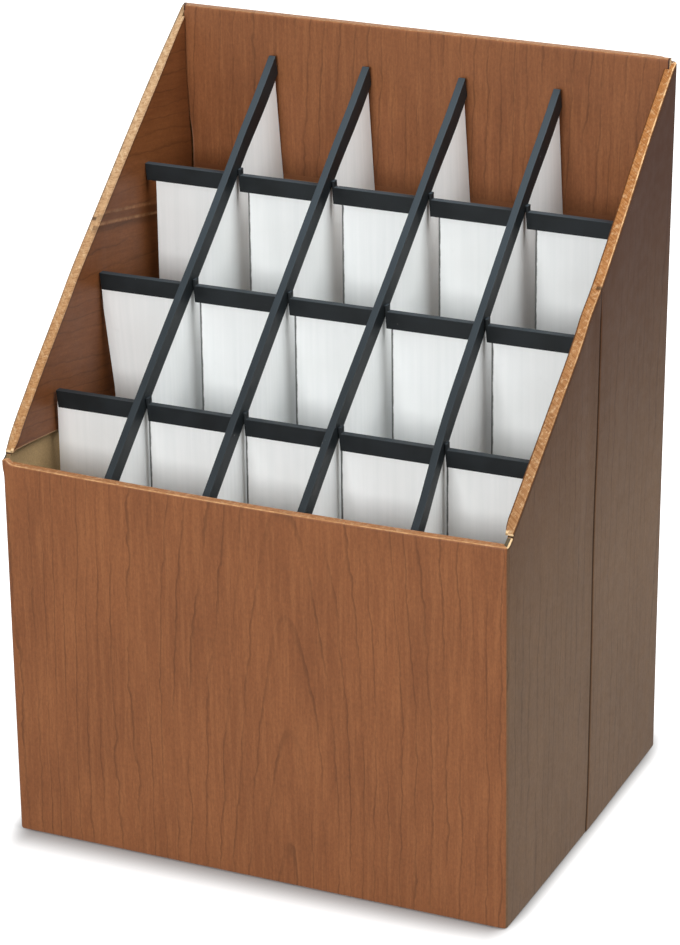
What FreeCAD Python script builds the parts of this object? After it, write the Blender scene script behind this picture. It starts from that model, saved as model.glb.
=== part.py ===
import FreeCAD, Part
import os

import Sketcher

# Upright roll file of folded corrugated board: a carton with a low front, a tall back and
# sloped sides, and a lift-out partition of slotted boards that makes 4 rows of 5 compartments.
# Plastic channel caps cover the partition's upper edges.
# Origin at the middle of the base, X to the right, Y to the back, Z up, millimetres.

COLUMNS = 5
ROWS = {"front": -1, "middle": 0, "rear": 1}

CARTON_SIZES = {
    "carton_width": 381.0,
    "carton_depth": 305.0,
    "back_height": 543.0,
    "front_height": 288.0,
    "side_step": 7.5,
    "side_step_run": 5.5,
    "board": 4.0,
    "fold_radius": 3.0,
    "fold_wall_share": 0.8,
    "bow_base": 1.0,
    "bow_top": 8.7,
    "bulge_base": 0.3,
    "bulge_top": 2.4,
    "crease_base": 4.0,
    "crease_top": 13.0,
    "score_width": 2.4,
    "score_depth": 0.8,
}

INNER_FLAP_SIZES = {
    "flap_gap": 0.5,
    "front_flap_length": 60.0,
    "back_flap_length": 126.0,
    "side_flap_toe_drop": 35.0,
    "side_flap_toe_setback": 50.0,
    "side_flap_rear_drop": 136.0,
    "side_flap_relief": 2.5,
    "side_flap_relief_run": 5.0,
    "side_flap_relief_drop": 83.8,
}

BASE_SIZES = {
    "bottom_seam": 1.0,
    "glue_tab_width": 35.0,
    "glue_tab_taper": 9.0,
    "glue_tab_gap": 1.0,
}

PARTITION_SIZES = {
    "partition_board": 3.2,
    "fit_clearance": 0.3,
    "end_clearance": 2.0,
    "column_pitch": 75.0,
    "row_pitch": 76.2,
    "partition_recess": 20.5,
    "partition_shift_share": 0.556,
    "front_row_drop": 13.2,
    "middle_row_drop": 13.6,
    "rear_row_drop": 17.2,
    "middle_row_shift_share": 0.3,
    "rear_row_shift_share": 0.9,
    "cross_slot_width": 12.7,
    "long_slot_width": 5.0,
    "lap_share": 0.5,
    "rear_relief": 4.0,
    "rear_relief_run": 109.0,
}

CAP_SIZES = {
    "cap_wall": 1.1,
    "cap_depth": 12.6,
    "cap_end_gap": 0.2,
    "cap_side_gap": 0.4,
    "cap_draft": 1.5,
    "tab_thickness": 2.3,
    "tab_height": 4.5,
}

SIZE_GROUPS = (CARTON_SIZES, INNER_FLAP_SIZES, BASE_SIZES, PARTITION_SIZES, CAP_SIZES)

OVERRUN_SIZE = {"overrun": 5.0}

doc = FreeCAD.newDocument("RollFile")
sheet = doc.addObject("Spreadsheet::Sheet", "Sizes")
line = 1
for group in (*SIZE_GROUPS, OVERRUN_SIZE):
    for alias, value in group.items():
        sheet.set(f"A{line}", alias.replace("_", " "))
        sheet.set(f"B{line}", str(value))
        sheet.setAlias(f"B{line}", alias)
        line += 1
doc.recompute()

# Faces that more than one piece uses, as expressions of the sheet's sizes
INNER_X = "(Sizes.carton_width / 2 - Sizes.board)"
INNER_Y = "(Sizes.carton_depth / 2 - Sizes.board)"
FLAP_X = "(Sizes.carton_width / 2 - 2 * Sizes.board)"
FLAP_Y = "(Sizes.carton_depth / 2 - 2 * Sizes.board)"
FLOOR = "(2 * Sizes.board)"
CAP_WIDTH = "(Sizes.partition_board + 2 * Sizes.cap_wall)"
BOARD_END_Y = f"({FLAP_Y} - Sizes.fit_clearance)"

# The sides slope up from a small step behind the front panel to the back panel's top. RISE is that
# slope, and STRETCH how much longer an upright length is than the same depth square to the slope.
STEP_Y = f"(Sizes.side_step_run - {INNER_Y})"
RISE = (
    "((Sizes.back_height - Sizes.front_height - Sizes.side_step)"
    f" / (Sizes.carton_depth / 2 - {STEP_Y}))"
)
STRETCH = f"sqrt(1 + pow({RISE}; 2))"


def slope(y):
    """Height of the carton's sloped edge at a depth y."""
    return f"(Sizes.back_height - {RISE} * (Sizes.carton_depth / 2 - ({y})))"


def grown(name, z):
    """A size that changes evenly from its base value to its value at the back's full height."""
    return f"(Sizes.{name}_base + (Sizes.{name}_top - Sizes.{name}_base) * ({z}) / Sizes.back_height)"


def reach(y, z, behind_crease):
    """How far a side panel stands out past its corner folds at y and z: bow plus bulge."""
    if behind_crease:
        share = f"(({INNER_Y} - ({y})) / ({INNER_Y} - {grown('crease', z)}))"
    else:
        share = f"(({INNER_Y} + ({y})) / ({INNER_Y} + {grown('crease', z)}))"
    return f"({grown('bow', z)} * {share} + {grown('bulge', z)} * 4 * {share} * (1 - {share}))"


def row_y(row):
    return f"({ROWS[row]} * Sizes.row_pitch)"


def long_cap_top(y):
    return f"({slope(y)} - Sizes.partition_recess)"


def long_board_top(y):
    return f"({long_cap_top(y)} - Sizes.cap_wall * {STRETCH})"


def cross_cap_top(row):
    return f"({long_cap_top(row_y(row))} - Sizes.{row}_row_drop)"


def cross_board_top(row):
    return f"({cross_cap_top(row)} - Sizes.cap_wall)"


def lap_height(row):
    """Height where a row's two half-lap slots meet."""
    return f"({FLOOR} + Sizes.lap_share * ({cross_board_top(row)} - {FLOOR}))"


# The partition stands left of the middle: its front row is pushed up to the left inner flap,
# the other rows and the long boards share out the play in their slots.
FLAP_TOE_HEIGHT = f"({slope(STEP_Y)} - Sizes.side_flap_toe_drop)"
SIDE_ROOM = f"(Sizes.end_clearance + {reach(row_y('front'), FLAP_TOE_HEIGHT, False)})"
PARTITION_X = f"(-Sizes.partition_shift_share * {SIDE_ROOM})"
SLOT_PLAY = "((Sizes.cross_slot_width - Sizes.partition_board) / 2)"
ROW_X = {
    "front": f"(Sizes.fit_clearance - {SIDE_ROOM})",
    "middle": f"({PARTITION_X} + Sizes.middle_row_shift_share * {SLOT_PLAY})",
    "rear": f"({PARTITION_X} + Sizes.rear_row_shift_share * {SLOT_PLAY})",
}


def column_x(column):
    """Middle plane of long board number column, counted from the left."""
    return f"({PARTITION_X} + {column - COLUMNS / 2} * Sizes.column_pitch)"


def end_near(sketch, curve, place):
    """The end of a sketch curve that lies at a place: 1 for its start, 2 for its end."""
    return min((1, 2), key=lambda end: sketch.getPoint(curve, end).distanceToPoint(place))


def outline(sketch, corners, bulges=None):
    """Draw a closed outline whose corners are pairs of expressions.

    A side whose bulge is an expression is an arc that stands out sideways by that much.
    """
    bulges = bulges or [None] * len(corners)
    places = [FreeCAD.Vector(sketch.evalExpression(x), sketch.evalExpression(y), 0) for x, y in corners]
    curves = []
    for here, there, bulge in zip(places, places[1:] + places[:1], bulges):
        if bulge is None:
            curve = Part.LineSegment(here, there)
        else:
            middle = (here + there) / 2 + FreeCAD.Vector(sketch.evalExpression(bulge), 0, 0)
            curve = Part.Arc(here, middle, there)
        curves.append(sketch.addGeometry(curve, False))
    for before, after, place in zip(curves, curves[1:] + curves[:1], places[1:] + places[:1]):
        ends = (end_near(sketch, before, place), end_near(sketch, after, place))
        sketch.addConstraint(Sketcher.Constraint("Coincident", before, ends[0], after, ends[1]))
    for curve, place, corner in zip(curves, places, corners):
        end = end_near(sketch, curve, place)
        for kind, value, expression in zip(("DistanceX", "DistanceY"), (place.x, place.y), corner):
            held = sketch.addConstraint(Sketcher.Constraint(kind, -1, 1, curve, end, value))
            sketch.setExpression(f"Constraints[{held}]", expression)
    for number, (curve, bulge) in enumerate(zip(curves, bulges)):
        if bulge is None:
            continue
        (x1, y1), (x2, y2) = corners[number], corners[(number + 1) % len(corners)]
        chord_squared = f"(pow({x2} - ({x1}); 2) + pow({y2} - ({y1}); 2))"
        radius = f"{chord_squared} / (8 * abs({bulge})) + abs({bulge}) / 2"
        held = sketch.addConstraint(Sketcher.Constraint("Radius", curve, sketch.evalExpression(radius)))
        sketch.setExpression(f"Constraints[{held}]", radius)


def new_body(name, x="0", y="0", z="0"):
    body = doc.addObject("PartDesign::Body", name)
    body.Label = name
    for axis, expression in zip("xyz", (x, y, z)):
        body.setExpression(f"Placement.Base.{axis}", expression)
    return body


def draw(body, plane, corners, bulges=None, height="0"):
    """Sketch on one of the body's own origin planes, raised by height along its normal."""
    sketch = body.newObject("Sketcher::SketchObject", f"{body.Name}_outline")
    origin_plane = next(item for item in body.Origin.OriginFeatures if item.Role == plane)
    sketch.AttachmentSupport = [(origin_plane, "")]
    sketch.MapMode = "FlatFace"
    sketch.setExpression("AttachmentOffset.Base.z", height)
    outline(sketch, corners, bulges)
    return sketch


def pad(body, sketch, length, side="One side", reverse=False):
    feature = body.newObject("PartDesign::Pad", f"{body.Name}_pad")
    feature.Profile = sketch
    feature.SideType = side
    feature.Reversed = reverse
    feature.setExpression("Length", length)
    return feature


def cut(body, sketch):
    """Cut a sketch right through the body, both ways, and see that it took material away."""
    doc.recompute()
    before = body.Shape.Volume
    feature = body.newObject("PartDesign::Pocket", f"{body.Name}_cut")
    feature.Profile = sketch
    feature.Type = "ThroughAll"
    feature.Midplane = True
    doc.recompute()
    if not body.Shape.Volume < before:
        raise RuntimeError(f"{feature.Name} cuts nothing")
    return feature


def facing(face):
    """Outward normal at the middle of a face."""
    first_u, last_u, first_v, last_v = face.ParameterRange
    return face.normalAt((first_u + last_u) / 2, (first_v + last_v) / 2)


def round_edges(body, one_side, other_side):
    """Round the edges where a face that passes one test meets a face that passes the other."""
    doc.recompute()
    base = body.Tip
    names = []
    for number, edge in enumerate(base.Shape.Edges, 1):
        normals = [facing(face) for face in base.Shape.Faces if any(edge.isSame(own) for own in face.Edges)]
        if any(map(one_side, normals)) and any(map(other_side, normals)):
            names.append(f"Edge{number}")
    fillet = body.newObject("PartDesign::Fillet", f"{body.Name}_fold")
    fillet.Base = (base, names)
    fillet.setExpression("Radius", "min(Sizes.fold_radius; Sizes.fold_wall_share * Sizes.board)")


def rectangle(left, right, low, high):
    return [(left, low), (right, low), (right, high), (left, high)]


# Front and back panels: flat, with the four folds round their outer face rounded


def upright_panel(name, height, behind):
    side = 1 if behind else -1
    body = new_body(name, y=f"{side} * {INNER_Y}")
    half = "Sizes.carton_width / 2"
    pad(body, draw(body, "XZ_Plane", rectangle(f"-{half}", half, "0", height)), "Sizes.board", reverse=behind)
    round_edges(body, lambda n: n.y * side > 0.9, lambda n: abs(n.y) < 0.5)
    return body


# Front and back inner flaps: folded down flat against the inside of their panels


def upright_inner_flap(name, height, length, behind):
    side = 1 if behind else -1
    body = new_body(name, y=f"{side} * {FLAP_Y}")
    half = f"({INNER_X} - Sizes.flap_gap)"
    sketch = draw(body, "XZ_Plane", rectangle(f"-{half}", half, f"{height} - {length}", height))
    pad(body, sketch, "Sizes.board", reverse=behind)
    round_edges(body, lambda n: n.y * side < -0.9, lambda n: n.z > 0.5)
    return body


# Side panels and their inner flaps: a board that bows out at a crease, cut off at the slope


def bowed_section(body, side, height):
    """Plan section of a bowed board: straight ends, and an arc each side of the crease."""
    bow = f"{side} * {grown('bow', height)}"
    crease = grown("crease", height)
    inside = f"{-side} * Sizes.board"
    corners = [
        ("0", f"-{INNER_Y}"),
        (bow, crease),
        ("0", INNER_Y),
        (inside, INNER_Y),
        (f"{bow} + ({inside})", crease),
        (inside, f"-{INNER_Y}"),
    ]
    bulge = f"{side} * {grown('bulge', height)}"
    return draw(body, "XY_Plane", corners, [bulge, bulge, None, bulge, bulge, None], height)


def bowed_board(name, side, outer_x):
    body = new_body(name, x=f"{side} * {outer_x}")
    loft = body.newObject("PartDesign::AdditiveLoft", f"{name}_loft")
    loft.Profile = bowed_section(body, side, "0")
    loft.Sections = [bowed_section(body, side, "Sizes.back_height")]
    loft.Ruled = True
    return body


def score(body, side):
    """Press the vertical crease into the outer face as a shallow groove."""

    def section(height):
        crease = grown("crease", height)
        bow = grown("bow", height)
        corners = [
            (f"{side} * ({bow} + Sizes.score_depth)", f"{crease} - Sizes.score_width"),
            (f"{side} * ({bow} - Sizes.score_depth)", crease),
            (f"{side} * ({bow} + Sizes.score_depth)", f"{crease} + Sizes.score_width"),
        ]
        return draw(body, "XY_Plane", corners, height=height)

    groove = body.newObject("PartDesign::SubtractiveLoft", f"{body.Name}_score")
    groove.Profile = section("0")
    groove.Sections = [section("Sizes.back_height")]
    groove.Ruled = True


def side_panel(name, side):
    body = bowed_board(name, side, "Sizes.carton_width / 2")
    over = "(Sizes.back_height + Sizes.overrun)"
    front, back = f"(-{INNER_Y} - Sizes.overrun)", f"({INNER_Y} + Sizes.overrun)"
    above_slope = [(front, slope(front)), (back, slope(back)), (back, over), (front, over)]
    cut(body, draw(body, "YZ_Plane", above_slope))
    round_edges(body, lambda n: n.x * side > 0.9, lambda n: abs(n.z) > 0.5)
    cut(body, draw(body, "YZ_Plane", rectangle(front, STEP_Y, "Sizes.front_height", over)))
    score(body, side)
    return body


def side_inner_flap(name, side):
    """Folded down inside the slope; its rear edge is cut back near the top to clear the back flap."""
    body = bowed_board(name, side, INNER_X)
    rear = f"({FLAP_Y} - Sizes.flap_gap)"
    relieved = f"({rear} - Sizes.side_flap_relief)"
    toe = f"({rear} - Sizes.side_flap_toe_setback)"
    relief_height = f"({slope(relieved)} - Sizes.side_flap_relief_drop)"
    edge = "(Sizes.carton_depth / 2 + Sizes.overrun)"
    over = "(Sizes.back_height + Sizes.overrun)"
    # The cut is everything round the flap: a frame whose inner outline is the flap's own
    frame = draw(body, "YZ_Plane", rectangle(f"-{edge}", edge, "-Sizes.overrun", over))
    outline(frame, [
        (STEP_Y, slope(STEP_Y)),
        (relieved, slope(relieved)),
        (relieved, relief_height),
        (rear, f"{relief_height} - Sizes.side_flap_relief_run"),
        (rear, f"{slope(rear)} - Sizes.side_flap_rear_drop"),
        (toe, FLAP_TOE_HEIGHT),
    ])
    cut(body, frame)
    round_edges(body, lambda n: n.x * side < -0.9, lambda n: n.z > 0.5)
    return body


# Base flaps: the front and back ones meet under the two side ones


def outer_bottom_flap(name, side):
    body = new_body(name)
    ends = sorted((f"{side} * {INNER_Y}", f"{side} * Sizes.bottom_seam / 2"), key=sheet.evalExpression)
    sketch = draw(body, "XY_Plane", rectangle(f"-{INNER_X}", INNER_X, *ends))
    pad(body, sketch, "Sizes.board")
    return body


def inner_bottom_flap(name, side):
    body = new_body(name, z="Sizes.board")
    free_edge = f"({INNER_X} - Sizes.carton_depth / 2)"
    ends = sorted((f"{side} * {INNER_X}", f"{side} * {free_edge}"), key=sheet.evalExpression)
    half = f"({INNER_Y} - Sizes.flap_gap)"
    pad(body, draw(body, "XY_Plane", rectangle(*ends, f"-{half}", half)), "Sizes.board")
    return body


def glue_tab():
    """The left panel's joint strip, glued to the inside of the back panel, with tapered ends."""
    body = new_body("glue_tab", y=FLAP_Y)
    root = f"(Sizes.flap_gap - {INNER_X})"
    tip = f"({root} + Sizes.glue_tab_width)"
    low = f"({FLOOR} + Sizes.glue_tab_gap)"
    high = "(Sizes.back_height - Sizes.back_flap_length - Sizes.glue_tab_gap)"
    corners = [
        (root, low),
        (tip, f"{low} + Sizes.glue_tab_taper"),
        (tip, f"{high} - Sizes.glue_tab_taper"),
        (root, high),
    ]
    pad(body, draw(body, "XZ_Plane", corners), "Sizes.board", reverse=True)
    return body


# Partition boards, slotted half and half where they cross


def long_divider(column):
    """Front-to-back board with a sloped top, slotted from below at each row."""
    body = new_body(f"long_divider_{column}", x=column_x(column))
    relieved = f"({BOARD_END_Y} - Sizes.rear_relief)"
    corners = [
        (f"-{BOARD_END_Y}", FLOOR),
        (BOARD_END_Y, FLOOR),
        (BOARD_END_Y, f"{long_board_top(BOARD_END_Y)} - Sizes.rear_relief_run"),
        (relieved, long_board_top(relieved)),
        (f"-{BOARD_END_Y}", long_board_top(f"-{BOARD_END_Y}")),
    ]
    pad(body, draw(body, "YZ_Plane", corners), "Sizes.partition_board", side="Symmetric")
    for row in ROWS:
        left = f"({row_y(row)} - Sizes.long_slot_width / 2)"
        right = f"({row_y(row)} + Sizes.long_slot_width / 2)"
        slot = rectangle(left, right, f"{FLOOR} - Sizes.overrun", lap_height(row))
        cut(body, draw(body, "YZ_Plane", slot))
    return body


def cross_divider(row):
    """Side-to-side board with a level top and four wide slots from above."""
    body = new_body(f"cross_divider_{row}", x=ROW_X[row], y=row_y(row))
    half = f"({FLAP_X} - Sizes.end_clearance)"
    board = draw(body, "XZ_Plane", rectangle(f"-{half}", half, FLOOR, cross_board_top(row)))
    pad(body, board, "Sizes.partition_board", side="Symmetric")
    first = f"({1 - COLUMNS / 2} * Sizes.column_pitch)"
    left = f"({first} - Sizes.cross_slot_width / 2)"
    right = f"({first} + Sizes.cross_slot_width / 2)"
    top = f"{cross_board_top(row)} + Sizes.overrun"
    slot = cut(body, draw(body, "XZ_Plane", rectangle(left, right, lap_height(row), top)))
    with_one_slot = body.Shape.Volume
    pattern = body.newObject("PartDesign::LinearPattern", f"{body.Name}_slots")
    pattern.Originals = [slot]
    pattern.Direction = (slot.Profile[0], ["H_Axis"])
    pattern.setExpression("Length", f"{COLUMNS - 2} * Sizes.column_pitch")
    pattern.Occurrences = COLUMNS - 1
    body.Tip = pattern
    doc.recompute()
    if not body.Shape.Volume < with_one_slot:
        raise RuntimeError(f"{pattern.Name} repeats nothing")
    return body


# Caps: channels pushed over the boards' upper edges


def long_cap(column):
    """Unbroken channel along the sloped top of a long board."""
    body = new_body(f"long_cap_{column}", x=column_x(column))
    ends = (f"-{BOARD_END_Y}", BOARD_END_Y)
    skirt = f"Sizes.cap_depth * {STRETCH}"
    corners = [(y, f"{long_cap_top(y)} - {skirt}") for y in ends]
    corners += [(y, long_cap_top(y)) for y in reversed(ends)]
    pad(body, draw(body, "YZ_Plane", corners), CAP_WIDTH, side="Symmetric")
    reach_out = (f"{ends[0]} - Sizes.overrun", f"{ends[1]} + Sizes.overrun")
    channel = [(y, f"{long_board_top(y)} - {skirt} - Sizes.overrun") for y in reach_out]
    channel += [(y, long_board_top(y)) for y in reversed(reach_out)]
    hollow(body, draw(body, "YZ_Plane", channel))
    return body


def hollow(body, sketch):
    """Cut the board's own thickness out of a cap, so that two skirts and the top are left."""
    doc.recompute()
    before = body.Shape.Volume
    feature = body.newObject("PartDesign::Pocket", f"{body.Name}_channel")
    feature.Profile = sketch
    feature.SideType = "Symmetric"
    feature.setExpression("Length", "Sizes.partition_board")
    doc.recompute()
    if not body.Shape.Volume < before:
        raise RuntimeError(f"{feature.Name} cuts nothing")


def cap_end(row, segment, side):
    """Where a row's cap segment ends: against a long board's cap, or near the side wall."""
    column = segment if side > 0 else segment - 1
    if column in (0, COLUMNS):
        skirt_bottom = f"({cross_cap_top(row)} - Sizes.cap_depth)"
        wall = f"({FLAP_X} + {reach(row_y(row), skirt_bottom, row == 'rear')} - Sizes.cap_side_gap)"
        return f"({side} * {wall})"
    return f"({column_x(column)} - {side} * ({CAP_WIDTH} / 2 + Sizes.cap_end_gap))"


def cross_cap(row, segment):
    """Channel between two long caps, with a tab that stands up beside the left one."""
    left = cap_end(row, segment, -1)
    length = f"({cap_end(row, segment, 1)} - {left})"
    body = new_body(f"cross_cap_{row}_{segment}", x=left, y=row_y(row), z=cross_cap_top(row))
    corners = [
        ("Sizes.cap_draft", "-Sizes.cap_depth"),
        (f"{length} - Sizes.cap_draft", "-Sizes.cap_depth"),
        (length, "0"),
    ]
    if segment > 1:
        thick, tall = "Sizes.tab_thickness", "Sizes.tab_height"
        corners += [(thick, "0"), (thick, tall), ("0", tall)]
    else:
        corners.append(("0", "0"))
    pad(body, draw(body, "XZ_Plane", corners), CAP_WIDTH, side="Symmetric")
    half = "Sizes.partition_board / 2"
    channel = rectangle(f"-{half}", half, "-Sizes.cap_depth - Sizes.overrun", "-Sizes.cap_wall")
    cut(body, draw(body, "YZ_Plane", channel))
    return body


pieces = [
    upright_panel("front_panel", "Sizes.front_height", behind=False),
    upright_panel("back_panel", "Sizes.back_height", behind=True),
    side_panel("left_side_panel", -1),
    side_panel("right_side_panel", 1),
    upright_inner_flap("front_inner_flap", "Sizes.front_height", "Sizes.front_flap_length", behind=False),
    upright_inner_flap("back_inner_flap", "Sizes.back_height", "Sizes.back_flap_length", behind=True),
    side_inner_flap("left_inner_flap", -1),
    side_inner_flap("right_inner_flap", 1),
    outer_bottom_flap("bottom_flap_front", -1),
    outer_bottom_flap("bottom_flap_rear", 1),
    inner_bottom_flap("bottom_flap_left", -1),
    inner_bottom_flap("bottom_flap_right", 1),
    glue_tab(),
]
pieces += [long_divider(column) for column in range(1, COLUMNS)]
pieces += [cross_divider(row) for row in ROWS]
pieces += [long_cap(column) for column in range(1, COLUMNS)]
pieces += [cross_cap(row, segment) for row in ROWS for segment in range(1, COLUMNS + 1)]

doc.recompute()

for item in doc.Objects:
    if {"Invalid", "Error"} & set(item.State):
        raise RuntimeError(f"{item.Name} failed: {item.State}")
for piece in pieces:
    if piece.Shape.isNull() or not piece.Shape.isValid() or len(piece.Shape.Solids) != 1:
        raise RuntimeError(f"{piece.Label} is not one valid solid")

os.makedirs("parts", exist_ok=True)
for piece in pieces:
    piece.Shape.exportStep(f"parts/{piece.Label}.step")
print(f"{len(pieces)} pieces written")
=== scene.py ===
import math

import bmesh
import bpy
import numpy as np
from mathutils import Matrix, Vector


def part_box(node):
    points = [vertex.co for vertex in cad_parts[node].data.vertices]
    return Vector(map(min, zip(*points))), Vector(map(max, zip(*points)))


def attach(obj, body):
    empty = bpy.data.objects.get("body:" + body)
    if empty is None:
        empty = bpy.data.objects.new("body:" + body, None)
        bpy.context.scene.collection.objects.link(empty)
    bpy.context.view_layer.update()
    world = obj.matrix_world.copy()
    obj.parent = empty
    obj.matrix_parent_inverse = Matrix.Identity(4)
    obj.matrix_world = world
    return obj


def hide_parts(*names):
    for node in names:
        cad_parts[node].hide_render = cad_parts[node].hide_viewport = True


# An upright roll file of folded corrugated board. The carton is printed with a woodgrain and
# folded over at its rim; the lift-out partition is white board with black plastic edge caps.
# Metres, X to the right, Y to the tall back, Z up.

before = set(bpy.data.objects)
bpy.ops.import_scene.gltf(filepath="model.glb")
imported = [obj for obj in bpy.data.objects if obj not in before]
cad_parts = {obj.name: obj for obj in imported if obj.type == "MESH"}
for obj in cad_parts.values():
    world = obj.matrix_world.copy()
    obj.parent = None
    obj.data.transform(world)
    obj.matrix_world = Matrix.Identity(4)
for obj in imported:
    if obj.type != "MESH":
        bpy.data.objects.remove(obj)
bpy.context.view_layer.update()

# Main sizes, read from the frame
front_low, front_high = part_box("front_panel")
HALF_WIDTH = front_high.x
HALF_DEPTH = -front_low.y
BOARD = front_high.y - front_low.y
FRONT_HEIGHT = front_high.z
BACK_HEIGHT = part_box("back_panel")[1].z
FRONT_FLAP_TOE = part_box("front_inner_flap")[0].z
BACK_FLAP_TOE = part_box("back_inner_flap")[0].z
FLAP_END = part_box("front_inner_flap")[1].x
STEP_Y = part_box("left_inner_flap")[0].y
SIDE_FLAP_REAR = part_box("left_inner_flap")[1].y
COLUMN_X = [sum(c.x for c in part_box(f"long_divider_{n}")) / 2 for n in range(1, 5)]
ROWS = ("front", "middle", "rear")

# The sloped rim of the sides, which starts with a small step behind the front panel
SIDE_STEP = 0.0075
RISE = (BACK_HEIGHT - FRONT_HEIGHT - SIDE_STEP) / (HALF_DEPTH - STEP_Y)
STRETCH = math.hypot(1, RISE)
STEP_RUN = 0.0004
LIP_RISE = 0.0050

# Folds, and how many steps their rounds have
CORNER_RADIUS = 0.003
SOFT_RIM = 0.0016
CRISP_RIM = 0.0007
BASE_RADIUS = 0.0018
FLAP_GAP = 0.0002
TOE_RADIUS = 0.0004
CORNER_STEPS = 6
RIM_STEPS = 6
FLAP_STEPS = 7
BASE_STEPS = 5
SHARP_ANGLE = math.radians(38)

# How far each side's rim stands out past the half width, as pairs of depth and stand
RIM_STAND = {
    "left": (
        (-0.1525, 0.0004), (-0.1465, 0.0016), (-0.1380, 0.0032), (-0.1050, 0.0053), (-0.0510, 0.0064),
        (-0.0280, 0.0070), (-0.0040, 0.0066), (0.0600, 0.0055), (0.1000, 0.0044), (0.1525, 0.0014),
    ),
    "right": (
        (-0.1525, -0.0010), (-0.1350, 0.0003), (-0.1050, 0.0017), (-0.0630, 0.0034), (-0.0250, 0.0046),
        (-0.0130, 0.0043), (0.0020, 0.0051), (0.0300, 0.0055), (0.1000, 0.0051), (0.1525, 0.0056),
    ),
}
STAND_POWER = {"left": 1.0, "right": 1.5}
BASE_BULGE = 0.001
CORNER_BASE_STAND = 0.0003

# Corners of the rim: how far the front ones are crushed outward, within a height and a depth, and
# how far a corner is pressed up or knocked down, within a width
CORNER_FLARE = {"left": 0.0015, "right": 0.0006}
FLARE_HEIGHT = 0.0045
FLARE_DEPTH = 0.007
CORNER_LIFT = {("left", False): (0.0034, 0.0030), ("right", True): (-0.0030, 0.0055)}

# The front rim's height at its ends, and how far its middle dips
FRONT_RIM_LIFT = 0.0008
FRONT_RIM_DIP = 0.0022

# The upright score crease that lets a side fold flat, as pairs of height and depth
CREASE_LINE = (
    (0.0, 0.0008), (0.03, 0.0030), (0.08, 0.0039), (0.145, 0.0040),
    (0.22, 0.0027), (0.26, 0.0029), (0.30, 0.0042), (0.44, 0.0050),
)
CREASE_Y = 0.0036
CREASE_HALF_WIDTH = 0.0016
CREASE_DEPTH = 0.0007
CREASE_STEP = 0.0004
CREASE_PULL = 0.03

# The back flap's ends, as pairs of height and place, and how far down the painted shadow lines at their seams
# reach
BACK_FLAP_LEFT = (
    (0.30, -0.1832), (0.4388, -0.1830), (0.4482, -0.1836), (0.4535, -0.1851),
    (0.4620, -0.1864), (0.4775, -0.1869), (0.49, -0.1875), (0.55, -0.1877),
)
BACK_FLAP_RIGHT = ((0.42, 0.1893), (0.50, 0.1913), (0.543, 0.1926))
LEFT_SEAM = 0.0050
RIGHT_SEAM = 0.0115

# The side flaps: their toe, their rear edge as pairs of height and cut, and where they are crushed
SIDE_FLAP_FRONT = FRONT_HEIGHT + SIDE_STEP
FLAP_FRONT_DROP = 0.0016
TOE_BEND = 0.05
TOE_BEND_DROP = 0.035
TOE_REAR_RISE = 0.1045
FLAP_REAR_CUT = {
    "left": ((0.4442, 0.0), (0.4500, 0.0014), (0.4800, 0.0012), (0.5100, 0.0014), (0.5340, 0.0012)),
    "right": ((0.4442, 0.0), (0.5340, 0.0)),
}
FLAP_CRUSH = {"left": 0.0019, "right": 0.0006}
TIP_CRUSH = 0.0022
TIP_CRUSH_RUN = 0.007

# Two creases on the left flap, one above the other, that fall to the rear, drawn only as painted shade and
# painted highlight
WRINKLE_HEIGHT = 0.4165
WRINKLE_FALL = 0.205
WRINKLE_STEP = 0.008

# The partition: each long board's bend as pairs of depth and shift, its rear end's lean, the slant
# of the long caps' ends, and each row's tilt
BOARD_BEND = (
    ((-0.15, -0.0020), (-0.041, -0.0013), (0.024, 0.0002), (0.145, 0.0005)),
    ((-0.15, -0.0005), (0.020, -0.0004), (0.105, 0.0005), (0.145, 0.0008)),
    ((-0.15, -0.0036), (-0.067, -0.0030), (0.009, -0.0004), (0.093, 0.0012), (0.145, 0.0014)),
    (
        (-0.15, 0.0064), (-0.113, 0.0046), (-0.100, 0.0034),
        (-0.076, 0.0014), (-0.018, 0.0004), (0.145, -0.0003),
    ),
)
REAR_LEAN = (0.0062, 0.0050, 0.0055, 0.0042)
REAR_LEAN_SHARE = ((0.10, 0.0), (0.40, 1.0), (0.505, 0.12))
CAP_END_SLANT = 0.0030
ROW_TILT = {"front": 0.0020, "middle": 0.0030, "rear": 0.0010}
LEFT_END_PUSH = ((0.20, 0.0037), (0.284, 0.0037), (0.366, -0.0056))
SLOT_WIDTH = 0.0127
CAP_ROUNDING = 0.0003
GRID_ALONG = 0.012
GRID_UP = 0.03

FLUTE_PITCH = 0.0065

# Places on the unfolded blank, a board's materials, and a distance too far to show wear
SHEET_PITCH = HALF_WIDTH + HALF_DEPTH
SHEET_SHIFT = {"left": -SHEET_PITCH, "front": 0.0, "right": SHEET_PITCH, "back": 2 * SHEET_PITCH}
PRINT, KRAFT, CUT = 0, 1, 2
FAR = 1.0
GAP_NAMES = ("corner_gap", "crease_gap", "toe_gap", "cut_gap", "seam_gap", "end_gap", "wrinkle_gap")


# Small helpers for curves


def smooth_through(pairs, at):
    """Smooth line through chosen pairs: a cubic between each two, with slopes from their neighbours."""
    px, py = np.array(pairs, float).T
    slope = np.gradient(py, px)
    i = np.clip(np.searchsorted(px, at) - 1, 0, len(px) - 2)
    span = px[i + 1] - px[i]
    t = np.clip((at - px[i]) / span, 0, 1)
    ends = (1 + 2 * t) * (1 - t) ** 2 * py[i] + t * t * (3 - 2 * t) * py[i + 1]
    return ends + span * t * (1 - t) * ((1 - t) * slope[i] - t * slope[i + 1])


def straight_through(pairs, at):
    return np.interp(at, *np.array(pairs).T)


def smoothstep(low, high, value):
    t = np.clip((value - low) / (high - low), 0, 1)
    return t * t * (3 - 2 * t)


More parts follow.
